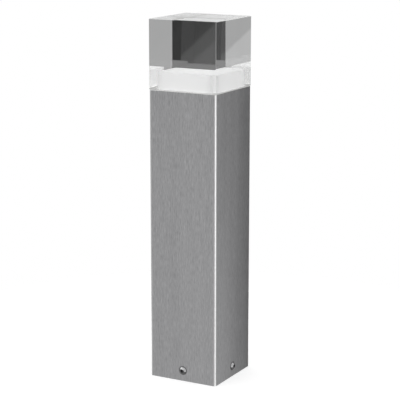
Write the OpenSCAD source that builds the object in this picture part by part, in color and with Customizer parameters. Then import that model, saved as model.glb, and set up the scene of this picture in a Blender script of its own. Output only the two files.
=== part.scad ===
// Square bollard light: a brushed steel post on a foot plate, with a clear crystal block on top.
// Millimetres, +Z up, origin on the ground at the centre of the foot.

/* [Overall] */
// Height from the ground to the top of the crystal block
total_h = 500; // [400:10:900]
// Width across the flats of the post and of the crystal block
post_w = 102; // [84:1:140]

/* [Post] */
// Wall of the square tube
post_t = 1.5; // [1:0.1:3]
// Outer corner radius of the square tube
post_r = 2.5; // [2:0.1:6]
// Height of the side screws above the ground
side_screw_z = 15; // [11.5:0.5:20]

/* [Crystal block] */
// Height of the clear block
block_h = 95; // [75:1:120]
// Clear wall between an outer face and the lamp pocket
block_wall = 9; // [7:0.5:13]
// Depth of the lamp pocket
pocket_h = 23.5; // [20:0.5:40]
// Polished chamfer on the outer edges
block_chamfer = 0.5; // [0.3:0.1:2]
// Thickness of the silicone seal under the block
seal_t = 1; // [0.5:0.1:2]

/* [Lamp] */
// Wall of the opal diffuser
diffuser_t = 2; // [1.2:0.1:3]
// Thickness of the aluminium-core board
board_t = 1.6; // [1:0.1:2.4]
// Distance of each row of LEDs from the centre
led_row = 22; // [16:0.5:24]
// Pitch of the LEDs along a row
led_pitch = 13; // [8:0.5:14]

/* [Head carrier] */
// Depth of the carrier's skirt
carrier_h = 18; // [14:1:28]
// Thickness of the carrier's floor
carrier_floor = 4; // [3:0.5:6]
// Wall of the carrier's skirt
carrier_t = 3; // [2:0.5:4]

/* [Foot] */
// Thickness of the foot plate and its tabs
plate_t = 3; // [2:0.5:4]
// Spacing of the anchor holes, both ways
anchor_pitch = 62; // [50:1:64]
// Diameter of the anchor holes
anchor_d = 7; // [5:0.5:9]
// Width of each upturned tab
tab_w = 30; // [20:1:40]
// Diameter of the cable that the foot's bush takes
inlet_d = 9; // [6:0.5:12]

/* [Terminal block] */
// Height of the bridge that carries the terminal block
bridge_h = 45; // [36:1:60]
// Distance between neighbouring poles
pole_pitch = 10; // [9:0.5:11]
// Height of the terminal block without its levers
terminal_h = 14; // [13:0.5:16]

/* [Driver] */
// Size of the driver's case: across, front to back, and height
driver_size = [36, 48, 22];
// Wall of the driver's case
driver_t = 1.6; // [1.2:0.1:2.4]

/* [Leads] */
// Diameter of the sheathed lead inside the post
lead_d = 7; // [5:0.5:8]
// Diameter of one insulated core
core_d = 2.6; // [2:0.1:3]

/* [Hidden] */
$fn = 64;

// Clearances: between parts that slip together, round a screw, and round a shaft
slip = 0.3;
screw_gap = 0.25;
shaft_gap = 0.05;
foot_gap = 0.5;
lid_gap = 0.1;
over = 1;

// Screws: shank diameter, length under the head, head diameter, head height
side_screw = [6, 10, 10.5, 3.3];
carrier_screw = [4, 10, 7.5, 2.4];
foot_screw = [4, 4.5, 7, 2.2];
driver_screw = [3.5, 8, 6, 2];
board_screw = [3, 5, 5.5, 1.8];
terminal_screw = [3, 5.5, 5.5, 1.8];
earth_bolt = [4, 3.3, 7.5, 2.6];
hex_key = 4;
key_depth = 1.7;
button_rim = 0.5;

// Post and head
inner_w = post_w - 2 * post_t;
post_h = total_h - block_h - seal_t;
block_z = post_h + seal_t;
pocket_w = post_w - 2 * block_wall;
pocket_r = 3;
seal_set_back = 1;
seal_in = pocket_w + 2 * seal_set_back;

// Head carrier, which slips into the top of the post
carrier_w = inner_w - 2 * slip;
carrier_z = post_h - carrier_h;
boss_r = 4.5;
boss_sink = 1;
boss_xy = carrier_w / 2 - carrier_t - boss_r + boss_sink;
rib_h = 8;
rib_t = 2;
rib_l = 52;
rib_x = [-27, -18, -9, 9, 18, 27];
lead_hole_y = 8;

// Corner brackets, welded inside the post under the carrier
bracket_t = 3;
bracket_leg = boss_r + 14;
bracket_flange_h = 14;
bracket_flange_t = 2;
bracket_tip = 8;
bracket_cut = 2.5;

// Diffuser and board, which stand on the carrier's floor
diffuser_w = pocket_w - 2 * slip;
diffuser_h = pocket_h + seal_t - 2 * slip;
diffuser_r = pocket_r - slip;
diffuser_chamfer = 3;
board_w = diffuser_w - 2 * diffuser_t - 2;
board_r = 3;
pad_t = 0.5;
board_z = post_h + pad_t;
board_top = board_z + board_t;
board_screw_inset = 4.5;
board_screw_xy = board_w / 2 - board_screw_inset;
led_size = [3, 3, 0.7];
sheet_t = 0.5;
window_gap = 0.5;
connector_size = [8, 7, 6];
connector_y = -1;

// Driver, hung under the carrier
driver_top = carrier_z + 2;
driver_z = driver_top - driver_size[2];
driver_lid_t = 2;
driver_ear = 8;
driver_ear_t = 3;
driver_ear_w = 12;
driver_r = 3;
driver_lip_h = 1.5;
driver_hole_y = driver_size[1] / 2 + driver_ear / 2;
driver_inlet_y = 8;
driver_board_t = 1.6;
standoff = [4, 3];
transformer = [14, 13, 10];
bobbin_t = 1.5;
core_leg = [2, 8];
winding_d = 9;
transformer_y = -9;
// each capacitor's place, diameter and height
capacitors = [[-11, 10, 8, 9], [11, 12, 6.3, 9.5], [11, -16, 6.3, 8], [-11, -16, 5, 7]];
bush_lip = 3;
bush_lip_t = 2;
driver_board_top = driver_z + driver_t + standoff[1] + driver_board_t;

// Foot plate
plate_w = inner_w - 2 * foot_gap;
tab_h = side_screw_z + 12;
bend_r = plate_t + 1;
tab_in = plate_w / 2 - plate_t;
nut_w = 10;
nut_t = 4;
bush_hole_d = inlet_d + 11;
bush_flange_d = bush_hole_d + 6;
bush_h = 14;
bush_flange_t = 2.5;
bush_neck = 4;

// Bridge over the cable inlet
bridge_t = 2;
bridge_w = 30;
bridge_y = -8;
bridge_r = 3;
foot_l = 12;
foot_end = tab_in - nut_t - 0.5;
leg_x = foot_end - foot_l;
foot_screw_x = foot_end - 4.5;

// Terminal block
poles = 3;
lever_w = pole_pitch - 2.6;
lever_gap = 0.3;
terminal_w = poles * pole_pitch + 2;
terminal_d = 26;
terminal_ear = 7;
terminal_ear_w = 10;
terminal_ear_t = 2.4;
terminal_ear_r = 2;
terminal_screw_x = min(terminal_w / 2 + terminal_ear / 2, leg_x - 3.2);
terminal_base_t = 1.6;
terminal_front = -terminal_d / 2;
hinge_y = terminal_front + 3.5;
hinge_z = terminal_h - 2.6;
hinge_r = 2.2;
slot_back = 7;
slot_floor = terminal_h - 5;
pin_r = 1;
pin_l = 0.7;
lever_t = 2.6;
field_entry_d = 4.4;
field_entry_z = 4.6;
lamp_entry_d = core_d + 0.2;
upper_entry_z = 6.5;
lower_entry_z = 3.2;
cavity = [5.4, 15, 6.2];
contact = [4.4, 14, 0.8];
leaf = [6.5, 0.5, 24];
lip = [3, 1.2];
lever_end_gap = 0.5;

// Leads
clip_wall = 1.5;
clip_h = 8;
clip_pad = [20, 3, 18];
run_y = inner_w / 2 - clip_wall - 2.5 - lead_d / 2;
inlet_bend_r = (run_y - driver_inlet_y) / 2;
inlet_drop = 6;
foot_bend_r = 18;
entry_z = bridge_h + upper_entry_z;
entry_y = bridge_y + terminal_d / 2;
sheath_end_y = run_y - foot_bend_r;
run_top = driver_z - inlet_drop - 2 * inlet_bend_r;
run_l = run_top - entry_z - foot_bend_r;
fan_l = sheath_end_y - entry_y;
trefoil_r = core_d / sqrt(3) + shaft_gap;
core_sides = 12;
core_rings = 12;
core_inside = 3;
clip_z = (run_top + entry_z) / 2;
led_lead_d = 3.4;
led_bend_r = 5;

// Earth: a lead from the terminal block to a bolt on the foot plate
earth_x = pole_pitch;
earth_out = 3;
earth_bend_r = 7;
earth_tag_y = entry_y + earth_out + 2 * earth_bend_r;
earth_bolt_y = earth_tag_y + 7;
barrel_r = core_d / 2 + 0.7;
tag_t = 0.8;
tag_r = 4.2;
barrel_l = 3;

// Shared shapes

// Square plan with round corners
module round_square(w, r) {
    square([w, w - 2 * r], center = true);
    square([w - 2 * r, w], center = true);
    for (x = [-1, 1], y = [-1, 1])
        translate([x * (w / 2 - r), y * (w / 2 - r)]) circle(r);
}

// Rectangle with round corners, centred
module round_rect(size, r) {
    square([size[0], size[1] - 2 * r], center = true);
    square([size[0] - 2 * r, size[1]], center = true);
    for (x = [-1, 1], y = [-1, 1])
        translate([x * (size[0] / 2 - r), y * (size[1] / 2 - r)]) circle(r);
}

// Its children at the four corners of a square
module at_corners(xy) {
    for (a = [0 : 90 : 270])
        rotate([0, 0, a]) translate([xy, xy, 0]) children();
}

// Its children on each of the four sides, where they face -Y
module on_sides() {
    for (a = [0 : 90 : 270])
        rotate([0, 0, a]) children();
}

// Pan-head screw: the head sits on z = 0 and rises, the shank goes down
module pan_screw(size) {
    difference() {
        union() {
            intersection() {
                cylinder(h = size[3], d = size[2]);
                translate([0, 0, size[3] - size[2] * 0.7]) sphere(size[2] * 0.7);
            }
            translate([0, 0, -size[1]]) cylinder(h = size[1] + 0.1, d = size[0]);
        }
        for (a = [0, 90])
            rotate([0, 0, a])
                translate([-size[2] * 0.28, -size[0] * 0.11, size[3] * 0.45])
                    cube([size[2] * 0.56, size[0] * 0.22, size[3]]);
    }
}

// Domed screw with a hexagon socket, on z = 0
module button_screw(size, key) {
    dome = size[3] - button_rim;
    dome_r = (pow(size[2] / 2, 2) + dome * dome) / (2 * dome);
    difference() {
        union() {
            intersection() {
                cylinder(h = size[3], d = size[2]);
                translate([0, 0, size[3] - dome_r]) sphere(dome_r);
            }
            translate([0, 0, -size[1]]) cylinder(h = size[1] + 0.1, d = size[0]);
        }
        translate([0, 0, size[3] - key_depth]) cylinder(h = size[3], d = key / cos(30), $fn = 6);
    }
}

// Round lead along steps of [straight length, bend angle, bend radius, roll], starting up +Z
module lead(steps, d, i = 0) {
    if (i < len(steps)) {
        s = steps[i];
        if (s[0] > 0) cylinder(h = s[0], d = d);
        translate([0, 0, s[0]]) rotate([0, 0, s[3]]) {
            if (s[1] > 0)
                translate([s[2], 0, 0]) rotate([90, 0, 180])
                    rotate_extrude(angle = s[1]) translate([s[2], 0]) circle(d = d);
            translate([s[2] * (1 - cos(s[1])), 0, s[2] * sin(s[1])])
                rotate([0, s[1], 0]) lead(steps, d, i + 1);
        }
    }
}

// Post

module post() {
    color("lightslategray") difference() {
        linear_extrude(post_h) difference() {
            round_square(post_w, post_r);
            round_square(inner_w, max(post_r - post_t, 0.5));
        }
        on_sides()
            translate([0, -post_w / 2 - 1, side_screw_z]) rotate([-90, 0, 0])
                cylinder(h = post_t + 2, d = side_screw[0] + 2 * screw_gap);
    }
}

// Folded gussets welded into the post's corners, which the carrier rests on
module post_brackets() {
    color("silver") at_corners(0)
        translate([inner_w / 2, inner_w / 2, carrier_z - bracket_t]) difference() {
            union() {
                linear_extrude(bracket_t)
                    polygon([[-bracket_cut, 0], [-bracket_leg, 0], [-bracket_leg, -bracket_tip],
                        [-bracket_tip, -bracket_leg], [0, -bracket_leg], [0, -bracket_cut]]);
                for (side = [0, 1]) mirror([side, -side, 0])
                    translate([-bracket_leg, -bracket_flange_t, bracket_t - bracket_flange_h])
                        cube([bracket_leg - bracket_cut, bracket_flange_t, bracket_flange_h]);
            }
            translate([boss_xy - inner_w / 2, boss_xy - inner_w / 2, -1])
                cylinder(h = bracket_t + 2, d = carrier_screw[0] + 2 * screw_gap);
        }
}

// Foot

// Section of one tab and its bend, in the plane that the tab stands across
module tab_section() {
    translate([-plate_w / 2, bend_r]) square([plate_t, tab_h - bend_r]);
    translate([-plate_w / 2 + bend_r, 0]) square([bend_r, plate_t]);
    difference() {
        intersection() {
            translate([-plate_w / 2, 0]) square(bend_r);
            translate([-plate_w / 2 + bend_r, bend_r]) circle(bend_r);
        }
        translate([-plate_w / 2 + bend_r, bend_r]) circle(bend_r - plate_t);
    }
}

module foot_plate() {
    color("gainsboro") difference() {
        union() {
            linear_extrude(plate_t) round_square(plate_w - 2 * bend_r, 4);
            on_sides()
                translate([-tab_w / 2, 0, 0]) rotate([90, 0, 90])
                    linear_extrude(tab_w) tab_section();
        }
        on_sides()
            translate([0, -plate_w / 2 - 1, side_screw_z]) rotate([-90, 0, 0])
                cylinder(h = plate_t + 2, d = side_screw[0] + 2 * screw_gap);
        at_corners(anchor_pitch / 2) translate([0, 0, -1]) cylinder(h = plate_t + 2, d = anchor_d);
        translate([0, 0, -1]) cylinder(h = plate_t + 2, d = bush_hole_d);
        for (x = [-1, 1])
            translate([x * foot_screw_x, bridge_y, -1])
                cylinder(h = plate_t + 2, d = foot_screw[0] + 2 * shaft_gap);
        translate([earth_x, earth_bolt_y, -1])
            cylinder(h = plate_t + 2, d = earth_bolt[0] + 2 * shaft_gap);
    }
}

module weld_nuts() {
    color("silver") on_sides()
        translate([0, -tab_in, side_screw_z]) rotate([-90, 0, 0]) difference() {
            cylinder(h = nut_t, d = nut_w / cos(30), $fn = 6);
            translate([0, 0, -1]) cylinder(h = nut_t + 2, d = side_screw[0] + 2 * shaft_gap);
        }
}

module side_screws() {
    color("silver") on_sides()
        translate([0, -post_w / 2, side_screw_z]) rotate([90, 0, 0]) button_screw(side_screw, hex_key);
}

// Rubber bush that the mains cable comes up through
module cable_bush() {
    color("dimgray") difference() {
        union() {
            translate([0, 0, slip]) cylinder(h = plate_t, d = bush_hole_d - 2 * shaft_gap);
            translate([0, 0, plate_t]) cylinder(h = bush_flange_t, d = bush_flange_d);
            translate([0, 0, plate_t + bush_flange_t])
                cylinder(h = bush_h - plate_t - bush_flange_t, d1 = bush_hole_d, d2 = inlet_d + bush_neck);
        }
        translate([0, 0, -1]) cylinder(h = bush_h + 2, d = inlet_d);
    }
}

// Terminal block on its bridge

// Section of the bridge across the foot, with rounded bends
module bridge_section() {
    for (side = [0, 1]) mirror([side, 0]) {
        translate([leg_x - bridge_t, plate_t + bridge_r]) square([bridge_t, bridge_h - plate_t - 2 * bridge_r]);
        translate([0, bridge_h - bridge_t]) square([leg_x - bridge_r, bridge_t]);
        translate([leg_x + bridge_r - bridge_t, plate_t])
            square([foot_end - leg_x - bridge_r + bridge_t, bridge_t]);
        intersection() {
            translate([leg_x - bridge_r, bridge_h - bridge_r]) square(bridge_r);
            difference() {
                translate([leg_x - bridge_r, bridge_h - bridge_r]) circle(bridge_r);
                translate([leg_x - bridge_r, bridge_h - bridge_r]) circle(bridge_r - bridge_t);
            }
        }
        intersection() {
            translate([leg_x - bridge_t, plate_t]) square(bridge_r);
            difference() {
                translate([leg_x - bridge_t + bridge_r, plate_t + bridge_r]) circle(bridge_r);
                translate([leg_x - bridge_t + bridge_r, plate_t + bridge_r]) circle(bridge_r - bridge_t);
            }
        }
    }
}

module terminal_bridge() {
    color("silver") difference() {
        translate([0, bridge_y + bridge_w / 2, 0]) rotate([90, 0, 0])
            linear_extrude(bridge_w) bridge_section();
        for (x = [-1, 1]) {
            translate([x * foot_screw_x, bridge_y, plate_t - 1])
                cylinder(h = bridge_t + 2, d = foot_screw[0] + 2 * screw_gap);
            translate([x * terminal_screw_x, bridge_y, bridge_h - bridge_t - 1])
                cylinder(h = bridge_t + 2, d = terminal_screw[0] + 2 * shaft_gap);
        }
    }
}

module bridge_screws() {
    color("gainsboro") for (x = [-1, 1])
        translate([x * foot_screw_x, bridge_y, plate_t + bridge_t]) pan_screw(foot_screw);
}

// Its children in the terminal block's own place, standing on the bridge
module on_bridge() {
    translate([0, bridge_y, bridge_h]) children();
}

// Its children at each pole
module at_poles() {
    for (i = [0 : poles - 1])
        translate([(i - (poles - 1) / 2) * pole_pitch, 0, 0]) children();
}

// Outline of the terminal block with its ears
module terminal_outline() {
    square([terminal_w, terminal_d], center = true);
    for (x = [-1, 1])
        translate([x * terminal_screw_x, 0]) round_rect([terminal_ear, terminal_ear_w], terminal_ear_r);
    square([2 * terminal_screw_x, terminal_ear_w], center = true);
}

module terminal_base() {
    color("whitesmoke") on_bridge() difference() {
        linear_extrude(terminal_base_t) terminal_outline();
        for (x = [-1, 1])
            translate([x * terminal_screw_x, 0, -1])
                cylinder(h = terminal_base_t + 2, d = terminal_screw[0] + 2 * screw_gap);
    }
}

module terminal_housing() {
    body_h = terminal_h - terminal_base_t;
    color("gainsboro") on_bridge() difference() {
        union() {
            translate([0, 0, terminal_base_t])
                linear_extrude(body_h) square([terminal_w, terminal_d], center = true);
            translate([0, 0, terminal_base_t]) linear_extrude(terminal_ear_t) terminal_outline();
        }
        for (x = [-1, 1]) {
            translate([x * terminal_screw_x, 0, 0])
                cylinder(h = terminal_h, d = terminal_screw[0] + 2 * screw_gap);
            translate([x * terminal_screw_x, 0, terminal_base_t + terminal_ear_t])
                cylinder(h = terminal_h, d = terminal_screw[2] + 4 * screw_gap);
        }
        at_poles() {
            // lever slot, with a bearing hole in each cheek
            translate([-lever_w / 2 - lever_gap, terminal_front - 1, slot_floor])
                cube([lever_w + 2 * lever_gap, slot_back - terminal_front + 1, terminal_h]);
            translate([-lever_w / 2 - pin_l - 0.1, hinge_y, hinge_z]) rotate([0, 90, 0])
                cylinder(h = lever_w + 2 * pin_l + 0.2, r = pin_r + shaft_gap);
            // contact chamber, open below
            translate([-cavity[0] / 2, -cavity[1] / 2 + 0.5, terminal_base_t - 1])
                cube([cavity[0], cavity[1], cavity[2] + 1]);
            translate([0, terminal_front - 1, field_entry_z]) rotate([-90, 0, 0])
                cylinder(h = terminal_d / 2, d = field_entry_d);
            for (z = [upper_entry_z, lower_entry_z])
                translate([0, 0, z]) rotate([-90, 0, 0])
                    cylinder(h = terminal_d, d = lamp_entry_d);
        }
    }
}

// Contact bars with a raised clamping leaf
module terminal_contacts() {
    color("peru") on_bridge() at_poles() {
        translate([-contact[0] / 2, -contact[1] / 2 + 0.5, terminal_base_t]) cube(contact);
        translate([-contact[0] / 2, -1, terminal_base_t + contact[2] - leaf[1] / 2])
            rotate([leaf[2], 0, 0]) cube([contact[0], leaf[0], leaf[1]]);
    }
}

module terminal_screws() {
    color("gainsboro") on_bridge() for (x = [-1, 1])
        translate([x * terminal_screw_x, 0, terminal_base_t + terminal_ear_t]) pan_screw(terminal_screw);
}

// Clamping lever of the pole at x, lying closed in its slot
module lever(x) {
    on_bridge() translate([x, hinge_y, hinge_z]) {
        translate([-lever_w / 2, 0, 0]) rotate([0, 90, 0]) cylinder(h = lever_w, r = hinge_r);
        translate([-lever_w / 2 - pin_l, 0, 0]) rotate([0, 90, 0])
            cylinder(h = lever_w + 2 * pin_l, r = pin_r);
        translate([-lever_w / 2, 0, hinge_r - lever_t])
            cube([lever_w, slot_back - hinge_y - lever_end_gap, lever_t]);
        translate([-lever_w / 2, slot_back - hinge_y - lever_end_gap - lip[0], hinge_r - lever_t])
            cube([lever_w, lip[0], lever_t + lip[1]]);
    }
}

module lever_live() { color("orange") lever(-pole_pitch); }
module lever_neutral() { color("orange") lever(0); }
module lever_earth() { color("orange") lever(pole_pitch); }

// Earth connection

module earth_lead() {
    color("yellowgreen")
        translate([earth_x, entry_y - core_inside, bridge_h + lower_entry_z]) rotate([-90, 0, 0])
            lead([[core_inside + earth_out, 90, earth_bend_r, 90],
                [bridge_h + lower_entry_z - 2 * earth_bend_r - plate_t - barrel_r, 90, earth_bend_r, 180],
                [barrel_l, 0, 0, 0]], core_d);
}

module earth_tag() {
    color("silver") translate([earth_x, earth_bolt_y, plate_t]) difference() {
        union() {
            cylinder(h = tag_t, r = tag_r);
            translate([-1.8, -5, 0]) cube([3.6, 5, tag_t]);
            translate([0, earth_tag_y - earth_bolt_y, barrel_r]) rotate([-90, 0, 0])
                cylinder(h = barrel_l, r = barrel_r);
        }
        translate([0, 0, -1]) cylinder(h = 4, d = earth_bolt[0] + 2 * screw_gap);
        translate([0, earth_tag_y - earth_bolt_y - over, barrel_r]) rotate([-90, 0, 0])
            cylinder(h = 2 * barrel_l, d = core_d + 2 * shaft_gap);
    }
}

module earth_screw() {
    color("darkseagreen") translate([earth_x, earth_bolt_y, plate_t + tag_t])
        pan_screw(earth_bolt);
}

// Leads inside the post

module supply_lead() {
    color("dimgray") translate([0, driver_inlet_y, driver_z]) rotate([180, 0, 0])
        lead([[inlet_drop, 90, inlet_bend_r, -90], [0, 90, inlet_bend_r, 180],
            [run_l, 90, foot_bend_r, 0]], lead_d);
}

// Route of one core: from its place in the sheath's end to its pole, level at both ends
function ease(t) = t * t * (3 - 2 * t);
function core_point(start, end, t) =
    [start[0] + (end[0] - start[0]) * ease(t), -fan_l * t, start[1] + (end[1] - start[1]) * ease(t)];
function core_heading(start, end, t) =
    let (slope = 6 * t * (1 - t) / fan_l, v = [(end[0] - start[0]) * slope, -1, (end[1] - start[1]) * slope])
    v / norm(v);

// Ring of points round a route at a point, across its heading
function ring(point, heading, d) =
    let (side = cross(heading, [0, 0, 1]) / norm(cross(heading, [0, 0, 1])), up = cross(side, heading))
    [for (k = [0 : core_sides - 1])
        point + d / 2 * (cos(360 * k / core_sides) * side + sin(360 * k / core_sides) * up)];

// Tube through rings of equal count
module tube(rings) {
    n = len(rings[0]);
    last = len(rings) - 1;
    polyhedron(
        points = [for (r = rings) each r],
        faces = [[for (k = [n - 1 : -1 : 0]) k], [for (k = [0 : n - 1]) last * n + k],
            for (r = [0 : last - 1], k = [0 : n - 1])
                let (a = r * n + k, b = r * n + (k + 1) % n) each [[a, b, a + n], [b, b + n, a + n]]]);
}

// Three cores that leave the sheath in a trefoil and fan out to the terminal block
module supply_cores() {
    colours = ["saddlebrown", "steelblue", "yellowgreen"];
    places = [210, 90, -30];
    for (i = [0 : poles - 1]) {
        start = trefoil_r * [cos(places[i]), sin(places[i])];
        end = [(i - 1) * pole_pitch, 0];
        color(colours[i]) translate([0, sheath_end_y, entry_z])
            tube([for (t = [0 : 1 / core_rings : 1.001])
                    ring(core_point(start, end, t), core_heading(start, end, t), core_d),
                ring([end[0], -fan_l - core_inside, 0], [0, -1, 0], core_d)]);
    }
}

// Stick-on saddle that holds the lead to the inside of the post
module lead_clip() {
    color("white") translate([0, run_y, clip_z]) difference() {
        union() {
            cylinder(h = clip_h, r = lead_d / 2 + clip_wall);
            translate([-clip_pad[0] / 2, lead_d / 2 + 1, (clip_h - clip_pad[2]) / 2]) cube(clip_pad);
        }
        translate([0, 0, -clip_pad[2]]) cylinder(h = 3 * clip_pad[2], r = lead_d / 2 + shaft_gap);
        translate([-clip_pad[0], inner_w / 2 - run_y, -clip_pad[2]]) cube(3 * clip_pad);
    }
}

// Driver

module driver_case() {
    color("white") translate([0, 0, driver_z]) difference() {
        union() {
            linear_extrude(driver_size[2] - driver_lid_t)
                round_rect([driver_size[0], driver_size[1]], driver_r);
            translate([0, 0, driver_size[2] - driver_ear_t]) linear_extrude(driver_ear_t)
                for (y = [-1, 1]) translate([0, y * driver_hole_y])
                    round_rect([driver_ear_w, driver_ear + 2], driver_r);
        }
        translate([0, 0, driver_t]) linear_extrude(driver_size[2])
            round_rect([driver_size[0] - 2 * driver_t, driver_size[1] - 2 * driver_t], driver_r / 2);
        translate([0, 0, driver_size[2] - driver_lid_t]) linear_extrude(driver_size[2])
            round_rect([driver_size[0], driver_size[1]], driver_r);
        for (y = [-1, 1]) translate([0, y * driver_hole_y, 0])
            cylinder(h = driver_size[2] + 1, d = driver_screw[0] + 2 * screw_gap);
        translate([0, driver_inlet_y, -over]) cylinder(h = driver_t + 2 * over, d = lead_d + bush_lip);
    }
}

module driver_lid() {
    color("white") translate([0, 0, driver_top - driver_lid_t]) difference() {
        union() {
            linear_extrude(driver_lid_t)
                round_rect([driver_size[0] - 2 * lid_gap, driver_size[1] - 2 * lid_gap], driver_r);
            translate([0, 0, -driver_lip_h]) linear_extrude(driver_lip_h + driver_lid_t / 2)
                round_rect([driver_size[0] - 2 * driver_t - 4 * lid_gap,
                    driver_size[1] - 2 * driver_t - 4 * lid_gap], driver_r / 2);
        }
        translate([0, lead_hole_y, -3]) cylinder(h = 8, d = led_lead_d + 2 * shaft_gap);
    }
}

module driver_bush() {
    color("dimgray") translate([0, driver_inlet_y, driver_z]) difference() {
        union() {
            translate([0, 0, -bush_lip_t]) cylinder(h = bush_lip_t, d = lead_d + 2 * bush_lip);
            translate([0, 0, -bush_lip_t])
                cylinder(h = bush_lip_t + driver_t, d = lead_d + bush_lip - 2 * shaft_gap);
        }
        translate([0, 0, -bush_lip_t - over]) cylinder(h = bush_lip_t + over, d = lead_d + 2 * shaft_gap);
        translate([0, 0, -over]) cylinder(h = driver_t + 2 * over, d = lead_d - bush_lip / 2);
    }
}

// Component side up, on four standoffs
module driver_board() {
    color("seagreen") translate([0, 0, driver_z + driver_t]) difference() {
        union() {
            translate([0, 0, standoff[1]]) linear_extrude(driver_board_t)
                round_rect([driver_size[0] - 2 * driver_t - 1, driver_size[1] - 2 * driver_t - 1], 1);
            for (x = [-1, 1], y = [-1, 1])
                translate([x * (driver_size[0] / 2 - 5), y * (driver_size[1] / 2 - 5), 0])
                    cylinder(h = standoff[1] + driver_board_t / 2, d = standoff[0]);
        }
        translate([0, driver_inlet_y, standoff[1] - over])
            cylinder(h = driver_board_t + 2 * over, d = lead_d + 1);
    }
}

module driver_transformer() {
    w = transformer[0];
    color("goldenrod") translate([0, transformer_y, driver_board_top]) {
        for (z = [0, transformer[2] - bobbin_t])
            translate([-w / 2, -transformer[1] / 2, z]) cube([w, transformer[1], bobbin_t]);
        cylinder(h = transformer[2], d = winding_d);
        for (x = [-w / 2, w / 2 - core_leg[0]])
            translate([x, -core_leg[1] / 2, 0]) cube([core_leg[0], core_leg[1], transformer[2]]);
    }
}

module driver_capacitors() {
    color("darkslategray") for (c = capacitors)
        translate([c[0], c[1], driver_board_top]) cylinder(h = c[3], d = c[2]);
}

module driver_screws() {
    color("gainsboro") for (y = [-1, 1])
        translate([0, y * driver_hole_y, driver_top - driver_ear_t]) rotate([180, 0, 0])
            pan_screw(driver_screw);
}

// Head carrier: a cast tray with cooling ribs below its floor

module head_carrier() {
    floor_z = post_h - carrier_floor;
    color("silver") difference() {
        union() {
            translate([0, 0, carrier_z]) linear_extrude(carrier_h) difference() {
                round_square(carrier_w, max(post_r - post_t, 0.5));
                round_square(carrier_w - 2 * carrier_t, 1);
            }
            translate([0, 0, floor_z]) linear_extrude(carrier_floor)
                round_square(carrier_w, max(post_r - post_t, 0.5));
            for (x = rib_x) translate([x - rib_t / 2, -rib_l / 2, floor_z - rib_h])
                cube([rib_t, rib_l, rib_h + 1]);
            at_corners(boss_xy) translate([0, 0, carrier_z]) cylinder(h = carrier_h - 1, r = boss_r);
            for (y = [-1, 1]) translate([0, y * driver_hole_y, driver_top])
                cylinder(h = post_h - driver_top - 1, r = boss_r);
        }
        at_corners(boss_xy) translate([0, 0, carrier_z - 1])
            cylinder(h = carrier_h - carrier_floor, d = carrier_screw[0] + 2 * shaft_gap);
        for (y = [-1, 1]) translate([0, y * driver_hole_y, driver_top - 1])
            cylinder(h = 9, d = driver_screw[0] + 2 * shaft_gap);
        at_corners(board_screw_xy) translate([0, 0, post_h - board_screw[1]])
            cylinder(h = board_screw[1] + 1, d = board_screw[0] + 2 * shaft_gap);
        translate([0, lead_hole_y, floor_z - 1]) cylinder(h = carrier_floor + 2, d = led_lead_d + bush_lip);
    }
}

module carrier_screws() {
    color("gainsboro") at_corners(boss_xy)
        translate([0, 0, carrier_z - bracket_t]) rotate([180, 0, 0]) pan_screw(carrier_screw);
}

module carrier_bush() {
    floor_z = post_h - carrier_floor;
    color("dimgray") translate([0, lead_hole_y, floor_z]) difference() {
        union() {
            cylinder(h = carrier_floor, d = led_lead_d + bush_lip - 2 * shaft_gap);
            translate([0, 0, -bush_lip_t]) cylinder(h = bush_lip_t, d = led_lead_d + 2 * bush_lip);
        }
        translate([0, 0, -bush_lip_t - over])
            cylinder(h = carrier_floor + bush_lip_t + 2 * over, d = led_lead_d + 2 * shaft_gap);
    }
}

// Lamp

module led_lead() {
    rise = board_top + connector_size[2] / 2 - led_bend_r - (driver_top - driver_lid_t);
    reach = lead_hole_y - led_bend_r - connector_y - connector_size[1] / 2;
    color("whitesmoke") translate([0, lead_hole_y, driver_top - driver_lid_t])
        lead([[rise, 90, led_bend_r, -90], if (reach > 0) [reach, 0, 0, 0]], led_lead_d);
}

module led_connector() {
    color("white") translate([0, connector_y, board_top + connector_size[2] / 2])
        cube(connector_size, center = true);
}

module thermal_pad() {
    color("lightblue") translate([0, 0, post_h]) linear_extrude(pad_t) difference() {
        round_square(board_w - 4, 2);
        at_corners(board_screw_xy) circle(d = board_screw[2] + 1);
        translate([0, lead_hole_y]) circle(d = led_lead_d + bush_lip);
    }
}

module led_board() {
    color("whitesmoke") translate([0, 0, board_z]) linear_extrude(board_t) difference() {
        round_square(board_w, board_r);
        at_corners(board_screw_xy) circle(d = board_screw[0] + 2 * screw_gap);
        translate([0, lead_hole_y]) circle(d = led_lead_d + bush_lip);
    }
}

// Its children at each LED, three to a side
module at_leds() {
    on_sides() for (k = [-1, 0, 1]) translate([k * led_pitch, -led_row, 0]) children();
}

module led_chips() {
    color("khaki") translate([0, 0, board_top]) at_leds()
        translate([-led_size[0] / 2, -led_size[1] / 2, 0]) cube(led_size);
}

// White sheet with a window for each LED
module reflector_sheet() {
    color("white") translate([0, 0, board_top]) linear_extrude(sheet_t) difference() {
        round_square(board_w - 1, board_r);
        at_leds() square([led_size[0] + 2 * window_gap, led_size[1] + 2 * window_gap], center = true);
        at_corners(board_screw_xy) circle(d = board_screw[2] + 1);
        translate([-connector_size[0] / 2 - 1, connector_y - connector_size[1] / 2 - 1])
            square([connector_size[0] + 2, lead_hole_y - connector_y + connector_size[1] / 2 + led_lead_d / 2 + 2]);
    }
}

module board_screws() {
    color("gainsboro") at_corners(board_screw_xy) translate([0, 0, board_top]) pan_screw(board_screw);
}

// Profile of a block whose two top corners are chamfered
module chamfered_front(w, h, c) {
    polygon([[-w / 2, 0], [w / 2, 0], [w / 2, h - c], [w / 2 - c, h], [-w / 2 + c, h], [-w / 2, h - c]]);
}

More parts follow.
